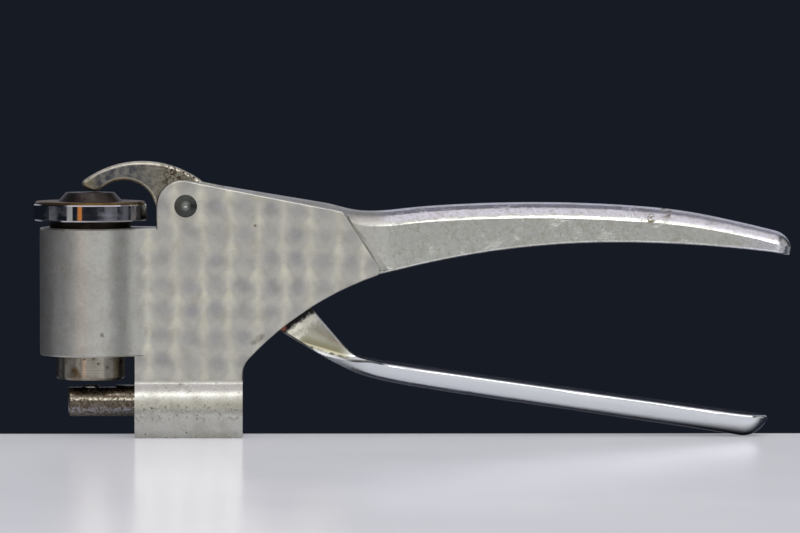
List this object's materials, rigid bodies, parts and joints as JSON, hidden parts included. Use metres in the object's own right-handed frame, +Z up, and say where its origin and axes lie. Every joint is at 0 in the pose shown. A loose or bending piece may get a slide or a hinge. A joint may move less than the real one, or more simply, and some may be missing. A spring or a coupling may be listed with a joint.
{
  "type": "hand-squeezed badge press",
  "caption": "Plier-type hand press: a hooked lever drives a sprung ram down through a barrel on to a horn, to set badges on cloth. It stands on its foot and is squeezed between long handles.",
  "frame": {"origin": "on the foot's flat base, close to its middle, on the mid-plane of the casting", "axes": "+X to the handle tips, +Z up, +Y to the back of the slab; the ram slides along Z at negative X"},
  "size_m": [0.2659, 0.04, 0.0963],
  "materials": {
    "cast_aluminium": "satin, engine-turned sides, cast handle",
    "plated_steel": "worn bright plate over forged steel",
    "blued_steel": "blued, turned end faces",
    "disc_chrome": "mirror plate",
    "plate_brass": "tarnished",
    "black_steel": "black satin",
    "cup_steel": "dark, oily",
    "ram_steel": "ground, a little rust",
    "horn_steel": "brown, pitted",
    "bronze": "machined bearing bronze",
    "washer_steel": "plain",
    "spring_steel": "oil tempered",
    "die_steel": "hardened and ground",
    "screw_steel": "black oxide"
  },
  "bodies": {
    "frame": {"frame_casting": "cast_aluminium", "ram_sleeve": "bronze", "stem_bush": "bronze", "spring_seat": "washer_steel", "return_spring": "spring_steel", "pivot_pin": "blued_steel", "anvil_bar": "horn_steel", "anvil_die": "die_steel", "anvil_set_screw": "screw_steel"},
    "ram": {"ram": "ram_steel", "setting_die": "die_steel", "die_set_screw": "screw_steel", "spring_cup": "cup_steel", "cap_disc": "disc_chrome", "wear_plate": "plate_brass", "thrust_button": "black_steel"},
    "lever": {"press_lever": "plated_steel", "lever_bush": "bronze", "lever_washers": "washer_steel"}
  },
  "joints": [
    {"name": "lever_squeeze", "type": "hinge", "parent": "frame", "child": "lever", "pos_m": [-0.002, 0, 0.081], "axis": [0, -1, 0], "range_deg": [0, 3.77]},
    {"name": "ram_slide", "type": "slide", "parent": "frame", "child": "ram", "axis": [0, 0, -1], "range_m": [0, 0.0021], "stiffness_N_per_m": 5000, "springref_m": -0.004, "deforming": ["return_spring"]}
  ],
  "couplings": [
    {"joint": "ram_slide", "follows": "lever_squeeze", "m_per_rad": 0.0318}
  ]
}
